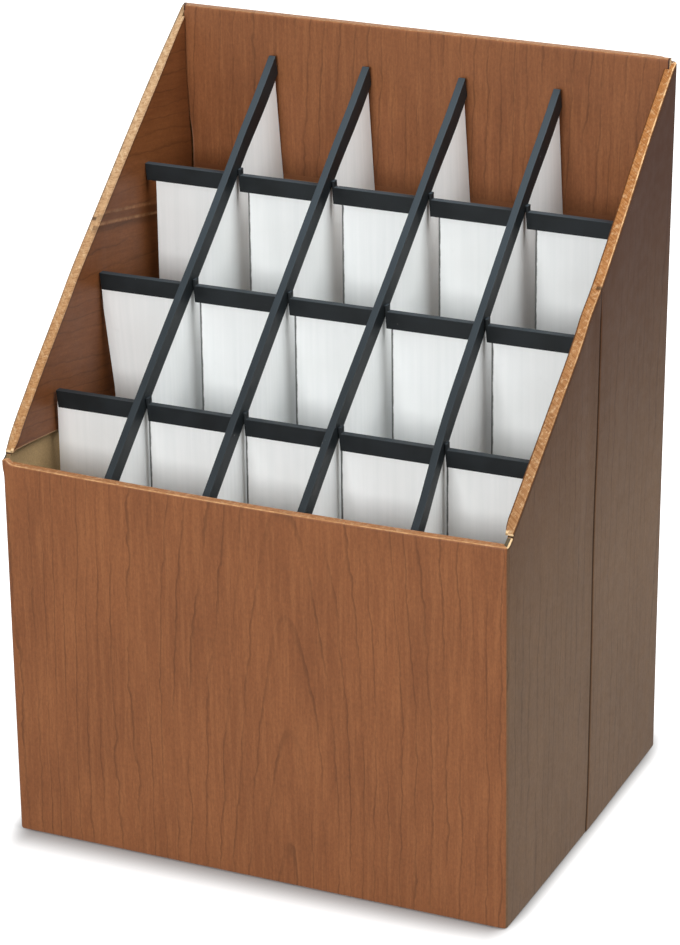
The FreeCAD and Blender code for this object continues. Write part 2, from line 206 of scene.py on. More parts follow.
def slope_height(y):
    """The side rim: it rises a little from the front corner, then a small step and a straight slope."""
    slope = BACK_HEIGHT - RISE * (HALF_DEPTH - y)
    lip = FRONT_HEIGHT + LIP_RISE * np.clip((y + HALF_DEPTH) / (STEP_Y + HALF_DEPTH), 0, 1)
    return np.where(y < STEP_Y - STEP_RUN, lip, np.maximum(slope, lip))


# Meshes


def new_object(name, data):
    made = bpy.data.objects.new(name, data)
    bpy.context.scene.collection.objects.link(made)
    return made


def finished_piece(name, mesh, materials):
    """An object at the origin: smooth faces with the sharp edges kept, and its materials."""
    mesh.polygons.foreach_set("use_smooth", np.ones(len(mesh.polygons), bool))
    mesh.set_sharp_from_angle(angle=SHARP_ANGLE)
    mesh.update()
    for material in materials:
        mesh.materials.append(material)
    return new_object(name, mesh)


def all_of(items, key, kind=float, width=1):
    """One value, or one row of values, of every item of a mesh."""
    values = np.zeros(len(items) * width, kind)
    items.foreach_get(key, values)
    return values.reshape(-1, width) if width > 1 else values


def set_points(mesh, key, values):
    layer = mesh.attributes.new(key, "FLOAT", "POINT")
    layer.data.foreach_set("value", values.astype(np.float32).ravel())


def outward_mesh(name, points, faces, face_uv, face_material, gaps):
    """A mesh from whole arrays. Faces are turned if the volume inside them comes out negative."""
    mesh = bpy.data.meshes.new(name)
    mesh.from_pydata(points.tolist(), [], faces)
    uv = mesh.uv_layers.new(name="sheet")
    uv.data.foreach_set("uv", np.concatenate(face_uv).astype(np.float32).ravel())
    mesh.polygons.foreach_set("material_index", np.array(face_material, np.int32))
    for key, values in gaps.items():
        set_points(mesh, key, values)
    mesh.update()
    solid = bmesh.new()
    solid.from_mesh(mesh)
    if solid.calc_volume(signed=True) < 0:
        bmesh.ops.reverse_faces(solid, faces=solid.faces[:])
        solid.to_mesh(mesh)
    solid.free()
    return mesh


def board_mesh(name, points, sheet, strip, run_axis, toe_depths, end_depth, materials, gaps):
    """A closed board: rings of points, one ring per station, joined into strips and closed at both ends.

    points is stations by ring by 3, sheet their places on the unfolded blank, strip the material of
    each strip of the ring. Cut strips read their place on the axis run_axis and their depth in the
    board, from the first of toe_depths to the last. End faces read their height and end_depth.
    """
    stations, ring = points.shape[:2]
    sheet = np.concatenate([sheet, sheet[:, :1]], 1)
    cuts = np.nonzero(np.array(strip) == CUT)[0]
    depths = np.linspace(*toe_depths, len(cuts) + 1)
    for k, first, last in zip(cuts, depths, depths[1:]):
        along = points[:, k, run_axis]
        sheet[:, k] = np.stack([along, np.full(stations, first)], -1)
        sheet[:, k + 1] = np.stack([along, np.full(stations, last)], -1)
    i, k = np.meshgrid(np.arange(stations - 1), np.arange(ring), indexing="ij")
    i, k = i.ravel(), k.ravel()
    after = (k + 1) % ring
    quads = np.stack([i * ring + k, (i + 1) * ring + k, (i + 1) * ring + after, i * ring + after], 1)
    quad_uv = np.stack([sheet[i, k], sheet[i + 1, k], sheet[i + 1, k + 1], sheet[i, k + 1]], 1)
    count = stations * ring
    faces = quads.tolist() + [list(range(ring)), list(range(count - 1, count - ring - 1, -1))]
    first_end, last_end = [np.stack([points[end, :, 2], end_depth], -1) for end in (0, -1)]
    face_uv = [quad_uv.reshape(-1, 2), first_end, last_end[::-1]]
    face_material = np.asarray(strip)[k].tolist() + [CUT, CUT]
    mesh = outward_mesh(name, points.reshape(-1, 3), faces, face_uv, face_material, gaps)
    return finished_piece(name, mesh, materials)


def board_gaps(below_rim, inset, **gaps):
    """Distances that wear and folds are drawn from, for every point of a board. One not given is far."""
    every = dict.fromkeys(GAP_NAMES, FAR) | {"lip_share": 0.0} | gaps
    every |= {"fold_gap": below_rim, "fold_across": inset / (2 * BOARD)}
    return {key: gap * np.ones_like(below_rim) for key, gap in every.items()}


def panel_ring(rows, rim_radius, stretch):
    """Ring of a panel's upright section: its inset, and its height as a share of the rim's plus an offset.

    It runs up the outer face, round the rim to the middle of the fold, down inside and round the base.
    """
    up = np.linspace(0, 1, rows)
    turn = np.radians(np.linspace(15, 90, RIM_STEPS))
    down = np.linspace(1, 0, rows // 2)
    base = np.radians(np.linspace(0, 75, BASE_STEPS))
    rim_drop = rim_radius * stretch
    inset = [0 * up, rim_radius * (1 - np.cos(turn)), 0 * down + BOARD, BASE_RADIUS * (1 - np.sin(base))]
    share = [up, np.ones(RIM_STEPS), down, np.zeros(BASE_STEPS)]
    offset = [(1 - up) * BASE_RADIUS - up * rim_drop, -rim_drop * (1 - np.sin(turn)), 0 * down]
    offset += [BASE_RADIUS * (1 - np.cos(base))]
    strip = [PRINT] * (rows + RIM_STEPS) + [KRAFT] * (rows // 2 - 1) + [CUT] + [PRINT] * BASE_STEPS
    return *map(np.concatenate, (inset, share, offset)), strip


def flap_ring(rows, rim_radius, stretch):
    """Ring of an inner flap's upright section: its inset, and its depth below the rim as share and offset.

    It runs from the middle of the fold down the printed face, round the toe and up the kraft back.
    """
    turn = np.radians(np.linspace(0, 90, FLAP_STEPS))
    down = np.linspace(0.02, 1, rows)
    up = np.linspace(1, 0.02, rows // 2)
    rim_drop = rim_radius * stretch
    inset = [[BOARD], 2 * BOARD - rim_radius * (1 - np.sin(turn)), np.full(rows, 2 * BOARD)]
    inset += [[2 * BOARD - TOE_RADIUS, BOARD + FLAP_GAP + TOE_RADIUS], np.full(rows // 2, BOARD + FLAP_GAP)]
    share = [[0], np.zeros(FLAP_STEPS), down, [1, 1], up]
    offset = [[0], rim_drop * (1 - np.cos(turn)), rim_drop * (1 - down), [0, 0], np.zeros(rows // 2)]
    offset[2][-1] = -TOE_RADIUS
    offset[4][0] = -TOE_RADIUS
    strip = [PRINT] * (FLAP_STEPS + rows) + [CUT] * 3 + [KRAFT] * (rows // 2)
    return *map(np.concatenate, (inset, share, offset)), strip


# The carton's walls


def corner_stand(side, y_end, z):
    """How far a corner stands out past the half width at a height z."""
    rim = RIM_STAND[side][0 if y_end < 0 else -1][1]
    height = FRONT_HEIGHT if y_end < 0 else BACK_HEIGHT
    share = np.clip(z / height, 0, 1) ** STAND_POWER[side]
    flare = corner_flare(side, y_end * HALF_DEPTH, z) if y_end < 0 else 0
    return CORNER_BASE_STAND + (rim - CORNER_BASE_STAND) * share + flare


def side_stand(side, y, z):
    """How far a side's outer face stands out: a slight bulge at the base that grows to the rim's curve."""
    share = np.clip(z / slope_height(y), 0, 1) ** STAND_POWER[side]
    base = CORNER_BASE_STAND + BASE_BULGE * (1 - (y / HALF_DEPTH) ** 2)
    return base + (smooth_through(RIM_STAND[side], y) - base) * share + corner_flare(side, y, z)


def corner_flare(side, y, z):
    """The crushed front corner of the rim spreads outward a little, as a bell in height and in depth."""
    up, back = (z - FRONT_HEIGHT) / FLARE_HEIGHT, (y + HALF_DEPTH) / FLARE_DEPTH
    return CORNER_FLARE[side] * np.exp(-up ** 2 - back ** 2)


def corner_lift(side, back, off_corner):
    """How far a corner of the rim is pressed up, or knocked down, as a bell beside the corner."""
    reach, width = CORNER_LIFT.get((side, back), (0.0, 1.0))
    return reach * np.exp(-(off_corner / width) ** 2)


def crease_groove(y, z):
    """Depth of the score crease: a rounded groove that fades at the rim, and a slight step up behind it."""
    off = y - smooth_through(CREASE_LINE, z)
    below_rim = smoothstep(0.004, 0.03, slope_height(y) - z)
    groove = CREASE_DEPTH * np.clip(1 - (off / CREASE_HALF_WIDTH) ** 2, 0, 1) ** 2 * below_rim
    step = CREASE_STEP * smoothstep(-0.001, 0.002, off) * (1 - smoothstep(0.01, 0.09, off)) * below_rim
    return groove - step, off


def rim_sag(along, back):
    """The front rim dips slightly in the middle; the back one is straight."""
    return np.zeros_like(along) if back else FRONT_RIM_LIFT - FRONT_RIM_DIP * (1 - along ** 2)


def upright_wall(name, back, materials, rows):
    """Front or back panel: straight in plan, with each corner rounded up to the middle of its fold."""
    height, way = (BACK_HEIGHT, 1) if back else (FRONT_HEIGHT, -1)
    arc = np.radians(np.linspace(45, 90, CORNER_STEPS))
    straight = np.sort([*np.linspace(-1, 1, 49)[1:-1], -0.985, -0.97, 0.97, 0.985])
    inset, share, offset, strip = panel_ring(rows, SOFT_RIM, 1)
    along = np.concatenate([-np.ones(CORNER_STEPS), straight, np.ones(CORNER_STEPS)])[:, None]
    turn = np.concatenate([arc, np.full(len(straight), np.pi / 2), arc[::-1]])[:, None]
    rim = height + rim_sag(along, back) + corner_lift("left", back, HALF_WIDTH * (1 + along))
    rim = rim + corner_lift("right", back, HALF_WIDTH * (1 - along))
    z = share[None] * rim + offset[None]
    left, right = corner_stand("left", way, z), corner_stand("right", way, z)
    mix = (along + 1) / 2
    halves = (HALF_WIDTH - CORNER_RADIUS, HALF_WIDTH - BOARD)
    out_x, in_x = [-(half + left) * (1 - mix) + (half + right) * mix for half in halves]
    out_x = out_x + np.sign(along) * (np.abs(along) == 1) * CORNER_RADIUS * np.cos(turn)
    out_y = way * (HALF_DEPTH - CORNER_RADIUS * (1 - np.sin(turn)))
    in_y = way * (HALF_DEPTH - BOARD)
    through = (inset / BOARD)[None]
    x = out_x + (in_x - out_x) * through
    points = np.stack([x, out_y + (in_y - out_y) * through, z], -1)
    sheet = np.stack([-way * x + SHEET_SHIFT["back" if back else "front"], z + inset[None]], -1)
    gaps = board_gaps(rim - z, inset, corner_gap=HALF_WIDTH - np.abs(out_x))
    return board_mesh(name, points, sheet, strip, 0, (BOARD, 0), inset, materials, gaps)


def side_depths():
    """Nominal depths of a side wall's stations, closer together at the rim's step and at the crease."""
    front = np.linspace(-HALF_DEPTH + CORNER_RADIUS + 0.0006, STEP_Y - STEP_RUN - 0.0001, 7)
    step = [STEP_Y - 0.0001, STEP_Y + 0.0012]
    off_crease = np.array((0.0006, 0.0011, 0.0016, 0.0024, 0.0034))
    near = CREASE_Y + np.concatenate([-off_crease[::-1], [0], off_crease])
    first = np.linspace(STEP_Y + 0.003, near[0] - 0.002, 30)
    last = np.linspace(near[-1] + 0.002, HALF_DEPTH - CORNER_RADIUS - 0.0005, 32)
    return np.concatenate([front, step, first, near, last])


def pulled(y, z):
    """A nominal depth moved along with the crease, less and less away from it."""
    pull = np.exp(-((y - CREASE_Y) / CREASE_PULL) ** 2)
    return y + (smooth_through(CREASE_LINE, z) - CREASE_Y) * pull


def side_wall(name, side, materials, rows):
    """Side panel: bowed in plan between its corner folds, cut off at the slope, with its score crease.

    Its depths follow the crease and its heights the rim, so they settle in a few rounds.
    """
    way = -1 if side == "left" else 1
    arc = np.radians(np.linspace(45, 0, CORNER_STEPS))
    nominal = side_depths()
    inset, share, offset, strip = panel_ring(rows, CRISP_RIM, STRETCH)
    turn = np.concatenate([arc, 0 * nominal, arc[::-1]])[:, None]
    end = np.concatenate([0 * arc - 1, 0 * nominal, 0 * arc + 1])[:, None]
    y_mid = np.concatenate([0 * arc, nominal, 0 * arc])[:, None]
    corner_y = end * (HALF_DEPTH - CORNER_RADIUS + CORNER_RADIUS * np.sin(turn))
    y = np.where(end != 0, corner_y, y_mid)
    z = share[None] * slope_height(y) + offset[None]
    for _ in range(4):
        y = np.where(end != 0, corner_y, pulled(y_mid, z))
        lift = corner_lift(side, False, HALF_DEPTH + y) + corner_lift(side, True, HALF_DEPTH - y)
        rim = slope_height(y) + lift
        z = np.maximum(share[None] * rim + offset[None], 0)
    groove, off_crease = crease_groove(y, z)
    corners = [corner_stand(side, -1, z), corner_stand(side, 1, z)]
    stand = np.select([end < 0, end > 0], corners, side_stand(side, y, z) - groove)
    out_x = HALF_WIDTH + stand - CORNER_RADIUS * (1 - np.cos(turn))
    in_x = HALF_WIDTH + stand - BOARD
    in_y = np.clip(y, BOARD - HALF_DEPTH, HALF_DEPTH - BOARD)
    through = (inset / BOARD)[None]
    y_all = y + (in_y - y) * through
    points = np.stack([way * (out_x + (in_x - out_x) * through), y_all, z], -1)
    sheet = np.stack([y_all * way - inset * RISE / STRETCH + SHEET_SHIFT[side], z + inset / STRETCH], -1)
    drop = (rim - z) / STRETCH
    drop = np.where(y < STEP_Y - STEP_RUN / 2, drop + 0.0011 * (1 - smoothstep(-0.1500, -0.1465, y)), drop)
    at_top = share[None] == 1
    cut = np.where(at_top & (np.abs(y - STEP_Y) < 0.0006), FRONT_HEIGHT + SIDE_STEP - z, FAR)
    cut = np.where(at_top & (y > STEP_Y + 0.0006), -1.0, cut)
    lip = at_top * (1 - smoothstep(STEP_Y - 0.0009, STEP_Y - 0.0004, y)) * smoothstep(-HALF_DEPTH, -0.1505, y)
    gaps = {"corner_gap": HALF_DEPTH - np.abs(y), "crease_gap": off_crease, "cut_gap": cut, "lip_share": lip}
    gaps = board_gaps(drop, inset, **gaps)
    return board_mesh(name, points, sheet, strip, 1, (BOARD, 0), inset, materials, gaps)


# The inner flaps


def upright_flap(name, back, materials, rows=26):
    """Inner flap of the front or back, folded down inside. The back one's ends follow their own lines."""
    height, toe, way = (BACK_HEIGHT, BACK_FLAP_TOE, 1) if back else (FRONT_HEIGHT, FRONT_FLAP_TOE, -1)
    inset, share, offset, strip = flap_ring(rows, SOFT_RIM, 1)
    along = np.linspace(-1, 1, 41)[:, None]
    rim = height + rim_sag(along * FLAP_END / HALF_WIDTH, back)
    z = rim - (share[None] * (height - toe) + offset[None])
    left = straight_through(BACK_FLAP_LEFT, z) if back else -FLAP_END
    right = straight_through(BACK_FLAP_RIGHT, z) if back else FLAP_END
    mix = (along + 1) / 2
    x = left * (1 - mix) + right * mix + 0 * z
    points = np.stack([x, way * (HALF_DEPTH - inset[None] - 0 * z), z], -1)
    sheet = np.stack([-way * x + SHEET_SHIFT["back" if back else "front"], 2 * rim - z + inset[None]], -1)
    beside = {}
    if back:
        seam = np.where(z > BACK_HEIGHT - RIGHT_SEAM, right - x, FAR)
        near_top = z > BACK_HEIGHT - LEFT_SEAM
        beside["seam_gap"] = np.where(near_top, np.minimum(seam, x - left), seam)
        beside["end_gap"] = np.where(near_top, FAR, x - left)
    gaps = board_gaps(rim - z, inset, toe_gap=z - toe, **beside)
    return board_mesh(name, points, sheet, strip, 0, (0, BOARD), 0 * inset, materials, gaps)


def side_flap_toe(y):
    """Lower edge of a side's inner flap: a shallow slant from the front, then steeply up to the rear."""
    corners = (
        (STEP_Y, SIDE_FLAP_FRONT), (SIDE_FLAP_REAR - TOE_BEND, SIDE_FLAP_FRONT - TOE_BEND_DROP),
        (SIDE_FLAP_REAR, SIDE_FLAP_FRONT + TOE_REAR_RISE),
    )
    return straight_through(corners, y)


def side_flap(name, side, materials, rows=34):
    """Inner flap of a side: its heights and its rear edge depend on each other and settle in rounds."""
    way = -1 if side == "left" else 1
    inset, share, offset, strip = flap_ring(rows, CRISP_RIM, STRETCH)
    bend = (SIDE_FLAP_REAR - TOE_BEND - STEP_Y) / (SIDE_FLAP_REAR - STEP_Y)
    station = np.concatenate([np.linspace(0, bend, 56)[:-1], np.linspace(bend, 1, 14)])[:, None]
    y = STEP_Y + station * (SIDE_FLAP_REAR - STEP_Y) * np.ones((1, len(inset)))
    for _ in range(6):
        rim = slope_height(y + 1e-5)
        toe = np.minimum(side_flap_toe(y), rim - FLAP_FRONT_DROP)
        z = rim - (share[None] * (rim - toe) + offset[None])
        rear = SIDE_FLAP_REAR - straight_through(FLAP_REAR_CUT[side], z)
        y = STEP_Y + station * (rear - STEP_Y)
    stand = side_stand(side, y, z) - crease_groove(y, z)[0]
    crush = FLAP_CRUSH[side] * smoothstep(0.09, SIDE_FLAP_REAR, y) * smoothstep(0.44, 0.50, z)
    crush = crush + TIP_CRUSH * (1 - smoothstep(STEP_Y, STEP_Y + TIP_CRUSH_RUN, y))
    x = way * (HALF_WIDTH + stand - inset[None] + crush * (inset[None] / BOARD - 1))
    depth = (rim - z) / STRETCH
    past_y = y - (2 * depth + inset[None]) * RISE / STRETCH
    past_z = z + (2 * depth + inset[None]) / STRETCH
    sheet = np.stack([past_y * way + SHEET_SHIFT[side], past_z], -1)
    wrinkle = z - WRINKLE_HEIGHT + WRINKLE_FALL * y if side == "left" else FAR
    gaps = board_gaps(depth, inset, corner_gap=y - STEP_Y + 0.0005, toe_gap=z - toe, wrinkle_gap=wrinkle)
    return board_mesh(name, np.stack([x, y, z], -1), sheet, strip, 1, (0, BOARD), 0 * inset, materials, gaps)


# The partition: its boards and caps, bent a little as the real ones are


def bent_across(x, y):
    """Sideways shift of the partition: each long board's own bend, shared out evenly between boards."""
    bends = [smooth_through(pairs, y) for pairs in BOARD_BEND]
    columns = [-HALF_WIDTH, *COLUMN_X, HALF_WIDTH]
    shifts = [0 * y, *bends, 0 * y]
    shift = np.zeros_like(y)
    for left, right, here, there in zip(columns, columns[1:], shifts, shifts[1:]):
        share = (x - left) / (right - left)
        shift = np.where((share >= 0) & (share <= 1), here + (there - here) * share, shift)
    return shift


def bent(points, node):
    """Points of a partition piece after its bend, its row's tilt, its lean and its end's slant or push."""
    x, y, z = points.T
    moved = points.copy()
    moved[:, 0] += bent_across(x, y)
    for row, tilt in ROW_TILT.items():
        if row in node:
            moved[:, 2] += tilt * (x + HALF_WIDTH) / (2 * HALF_WIDTH) * smoothstep(0.0, 0.2, z)
    if node.startswith("long"):
        lean = REAR_LEAN[int(node[-1]) - 1] * smoothstep(0.088, 0.143, y)
        moved[:, 0] += lean * straight_through(REAR_LEAN_SHARE, z)
    if node.startswith("long_cap"):
        at_end = y > y.max() - 1e-4
        top, foot = z[at_end].max(), z[at_end].min()
        slant = CAP_END_SLANT * (z[at_end] - foot) / (top - foot)
        moved[at_end, 1] -= slant
        moved[at_end, 2] -= slant * RISE
    if node == "cross_divider_middle":
        near_end = 1 - smoothstep(0.0, 0.05, x - x.min())
        moved[:, 0] += near_end * straight_through(LEFT_END_PUSH, z)
    return moved


def bent_copy(node, name, spacing, materials, bevel=0):
    """A node's own solid as one closed mesh, cut into a grid that is fine enough to bend."""
    solid = bmesh.new()
    solid.from_mesh(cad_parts[node].data)
    bmesh.ops.remove_doubles(solid, verts=solid.verts[:], dist=1e-6)
    bmesh.ops.dissolve_limit(solid, angle_limit=math.radians(0.5), verts=solid.verts[:], edges=solid.edges[:])
    low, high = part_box(node)
    for axis, step in enumerate(spacing):
        if not step:
            continue
        normal = Vector([float(axis == n) for n in range(3)])
        for place in np.arange(low[axis] + step / 2, high[axis], step):
            parts = solid.verts[:] + solid.edges[:] + solid.faces[:]
            bmesh.ops.bisect_plane(solid, geom=parts, plane_co=normal * place, plane_no=normal, dist=1e-7)
    mesh = bpy.data.meshes.new(name)
    solid.to_mesh(mesh)
    solid.free()
    points = all_of(mesh.vertices, "co", width=3)
    set_board_uv(mesh, points, node)
    set_slot_gap(mesh, points, node)
    mesh.vertices.foreach_set("co", bent(points, node).astype(np.float32).ravel())
    piece = finished_piece(name, mesh, materials)
    if bevel:
        rounding = piece.modifiers.new("rounding", "BEVEL")
        rounding.width = bevel
        rounding.segments = 2
        rounding.limit_method = "ANGLE"
        rounding.angle_limit = math.radians(40)
    return piece


def set_slot_gap(mesh, points, node):
    """Each point of a cross board gets its distance from the nearest slot's right edge."""
    gap = np.full(len(points), FAR)
    if node.startswith("cross_divider"):
        top = points[:, 2] > points[:, 2].max() - 1e-4
        edges = np.unique(points[top, 0].round(5))
        starts = edges[1:][np.abs(np.diff(edges) - SLOT_WIDTH) < 2e-4]
        gap = np.abs(points[:, 0] - starts[:, None]).min(0)
        lap = points[gap < 1e-5, 2].min()
        gap = np.where(points[:, 2] < lap - 1e-4, FAR, gap)
    set_points(mesh, "slot_gap", gap)


def set_board_uv(mesh, points, node):
    """Faces read their place on the board; cut edges read their place along and their depth in it."""
    totals = all_of(mesh.polygons, "loop_total", np.int32)
    normals = np.abs(all_of(mesh.polygons, "normal", width=3))
    across = 0 if "long" in node else 1
    cut = normals[:, across] < 0.5
    place = points[all_of(mesh.loops, "vertex_index", np.int32)]
    upright_cut = np.repeat(normals[:, 1 - across] > 0.7, totals)
    low, high = points[:, across].min(), points[:, across].max()
    along = np.where(upright_cut, FLUTE_PITCH / 4, place[:, 1 - across])
    depth = (place[:, across] - (low + high) / 2) / (high - low) * BOARD + BOARD / 2
    uv = np.where(np.repeat(cut, totals)[:, None], np.stack([along, depth], -1), place[:, [1 - across, 2]])
    layer = mesh.uv_layers.new(name="sheet")
    layer.data.foreach_set("uv", uv.astype(np.float32).ravel())
    mesh.polygons.foreach_set("material_index", cut.astype(np.int32))


# Shader building


def source(tree, kind, **settings):
    """A shader node of the given kind, with its settings."""
    made = tree.nodes.new("ShaderNode" + kind)
    for key, value in settings.items():
        setattr(made, key, value)
    return made


def join(socket, node, key):
    socket.id_data.links.new(socket, node.inputs[key])


def add(kind, inputs, **settings):
    """A shader node in its inputs' own tree, each input set to a value or joined to a socket."""
    joined = {key: value for key, value in inputs.items() if isinstance(value, bpy.types.NodeSocket)}
    made = source(next(iter(joined.values())).id_data, kind, **settings)
    for key, value in inputs.items():
        if key in joined:
            join(value, made, key)
        else:
            made.inputs[key].default_value = value
    return made


def calc(operation, *values):
    return add("Math", dict(enumerate(values)), operation=operation).outputs[0]


def times(first, *others):
    for other in others:
        first = calc("MULTIPLY", first, other)
    return first


def scaled(value, by, plus):
    return calc("MULTIPLY_ADD", value, by, plus)


def split(vector):
    return add("SeparateXYZ", {0: vector}).outputs


def noise(vector, scale, detail=2.0, roughness=0.5):
    inputs = {"Vector": vector, "Scale": scale, "Detail": detail, "Roughness": roughness}
    return add("TexNoise", inputs, noise_dimensions="3D").outputs["Fac"]


def grain(vector, u, v, detail, roughness=0.5):
    """Noise with its two directions scaled apart."""
    stretched = add("Mapping", {"Vector": vector, "Scale": (u, v, 1.0)}).outputs[0]
    return noise(stretched, 1.0, detail, roughness)


def between(value, low, high, to_low=0.0, to_high=1.0):
    """A value taken smoothly from one range to another."""
    inputs = {"Value": value, "From Min": low, "From Max": high, "To Min": to_low, "To Max": to_high}
    return add("MapRange", inputs, interpolation_type="SMOOTHSTEP").outputs[0]


def window(value, start, full, fading, gone):
    """A mask that is full between two places and fades on both sides."""
    return times(between(value, start, full), between(value, gone, fading))


def wandering(value, ragged, width):
    """A value made ragged by centred noise of the given width."""
    return scaled(calc("SUBTRACT", ragged, 0.5), width, value)


def colour(tone):
    """Three numbers are a colour as seen on screen, 0 to 255, and become the linear ones of shaders."""
    if not isinstance(tone, tuple) or len(tone) != 3:
        return tone
    seen = np.array(tone) / 255
    linear = np.where(seen <= 0.04045, seen / 12.92, ((seen + 0.055) / 1.055) ** 2.4)
    return (*[float(v) for v in linear], 1.0)


def blended(share, first, second, way="MIX"):
    inputs = {0: share, 6: colour(first), 7: colour(second)}
    return add("Mix", inputs, data_type="RGBA", blend_type=way).outputs[2]


def dimmed(share, tone):
    return tuple(share * channel for channel in tone)


def painted(base, mask, share, tone):
    """A base with a tone laid over it, by a share of a mask."""
    return blended(times(mask, share), base, tone)


def attribute(tree, name):
    return source(tree, "Attribute", attribute_name=name, attribute_type="GEOMETRY").outputs["Fac"]


def sheet_place(tree):
    return source(tree, "UVMap", uv_map="sheet").outputs[0]


def object_place(tree):
    return source(tree, "TexCoord").outputs["Object"]


def flute_wave(along):
    """The corrugation under a liner: a sine with the flutes' pitch."""
    return calc("SINE", times(along, 2 * math.pi / FLUTE_PITCH))


def effect(name, inputs, outputs):
    """An empty shader group with named sockets, as (group, its input node, its output node)."""
    group = bpy.data.node_groups.new(name, "ShaderNodeTree")
    for direction, sockets in (("INPUT", inputs), ("OUTPUT", outputs)):
        for key, kind in sockets.items():
            group.interface.new_socket(key, in_out=direction, socket_type=f"NodeSocket{kind}")
    return group, group.nodes.new("NodeGroupInput"), group.nodes.new("NodeGroupOutput")


def use(group, **inputs):
    return add("Group", inputs, node_tree=group).outputs


def new_material(name):
    material = bpy.data.materials.new(name)
    material.use_nodes = True
    tree = material.node_tree
    return material, tree, tree.nodes["Principled BSDF"]


def surfaced(surface, base, height, strength=0.6):
    """Joins a surface to its colour and to a bump of the given height."""
    join(base, surface, "Base Color")
    bump = add("Bump", {"Height": height, "Distance": 1.0, "Strength": strength})
    join(bump.outputs[0], surface, "Normal")


# Effects that more than one material uses


def woodgrain_effect():
    """Printed cherry: thin growth lines that close into tall arches, pores, streaks and slow tones.

    A growth line lies wherever sqrt(across^2 + cone^2) passes a multiple of the ring width, with
    across the distance from the pith and cone rising slowly up the sheet, so arches point down.
    """
    inputs = {"Sheet": "Vector", "Deep": "Color", "Middle": "Color", "Light": "Color", "Pith": "Float"}
    group, given, made = effect("woodgrain", inputs, {"Colour": "Color", "Height": "Float"})
    sheet = given.outputs["Sheet"]
    u, v = split(sheet)[:2]
    across = calc("SUBTRACT", u, given.outputs["Pith"])
    across = wandering(across, grain(sheet, 9, 1.6, 1.0), 0.045)
    across = wandering(across, grain(sheet, 46, 24, 3.0, 0.6), 0.010)
    cone = scaled(v, 0.13, 0.006)
    squares = scaled(across, across, times(cone, cone))
    rings = times(calc("SQRT", squares), 92.0)
    rings = scaled(grain(sheet, 14, 0.6, 1.0), 2.6, rings)
    line = window(calc("FRACT", rings), 0.82, 0.95, 0.97, 1.0)
    presence = between(grain(sheet, 46, 9, 2.0), 0.36, 0.58)
    line = times(line, scaled(presence, 0.85, 0.15))
    streak = grain(sheet, 260, 14, 3.0, 0.6)
    pores = between(grain(sheet, 900, 60, 1.0), 0.62, 0.74)
    tone = between(grain(sheet, 22, 8, 3.0), 0.3, 0.7)
    wood = blended(tone, given.outputs["Deep"], given.outputs["Middle"])
    wood = blended(between(streak, 0.38, 0.72, 0.0, 0.45), wood, given.outputs["Light"])
    shade = scaled(grain(sheet, 620, 70, 2.0, 0.6), 0.34, 0.83)
    shade = times(shade, scaled(grain(sheet, 620, 300, 3.0, 0.75), 0.66, 0.67))
    shade = times(shade, scaled(line, -0.30, 1.0))
    shade = times(shade, scaled(pores, -0.12, 1.0))
    grey = add("CombineColor", {0: shade, 1: shade, 2: shade}).outputs[0]
    join(blended(1.0, wood, grey, "MULTIPLY"), made, "Colour")
    height = scaled(flute_wave(u), 0.000003, times(streak, 0.00001))
    height = scaled(noise(sheet, 30.0, 2.0), 0.0003, height)
    join(height, made, "Height")
    return group


def fold_wear_effect():
    """Scuffs beside a fold: full at the fold, broken up by noise, gone at the given width."""
    inputs = {"Sheet": "Vector", "Gap": "Float", "Width": "Float", "Breakup": "Float"}
    group, given, made = effect("fold_wear", inputs, {"Mask": "Float"})
    sheet, gap, width, breakup = [given.outputs[key] for key in inputs]
    rough = calc("ADD", noise(sheet, 420.0, 3.0, 0.65), noise(sheet, 45.0, 2.0))
    broken = times(calc("SUBTRACT", rough, 1.0), breakup)
    reach = calc("DIVIDE", calc("ABSOLUTE", gap), width)
    join(between(calc("ADD", reach, broken), 1.0, 0.35), made, "Mask")
    return group


WOODGRAIN = woodgrain_effect()
FOLD_WEAR = fold_wear_effect()


# Materials


def rim_fold(sheet, rim, on_rim, across, height, upper):
    """The flat of the rim: worn fibres across the fold, rubbed paler in patches, on tones that are partly
    painted sheen, as (colour, fibres).
    """
    leaning = scaled(across, 2 * BOARD * rim["slant"], height)
    slanted = add("CombineXYZ", {0: split(sheet)[0], 1: leaning}).outputs[0]
    fibres = grain(slanted, 260, 900, 4.0, 0.75)
    rubbed = grain(sheet, 280, 340, 4.0, 0.7)
    tone = blended(upper, *rim["flat"])
    dim = blended(1.0, tone, (0.60, 0.50, 0.42, 1.0), "MULTIPLY")
    tan = blended(between(fibres, 0.34, 0.60), dim, tone)
    pale = blended(0.35, tone, (255, 232, 190))
    tan = blended(between(rubbed, 0.50, 0.66, 0.0, 0.7), tan, pale)
    return tan, times(on_rim, times(fibres, 0.00012))


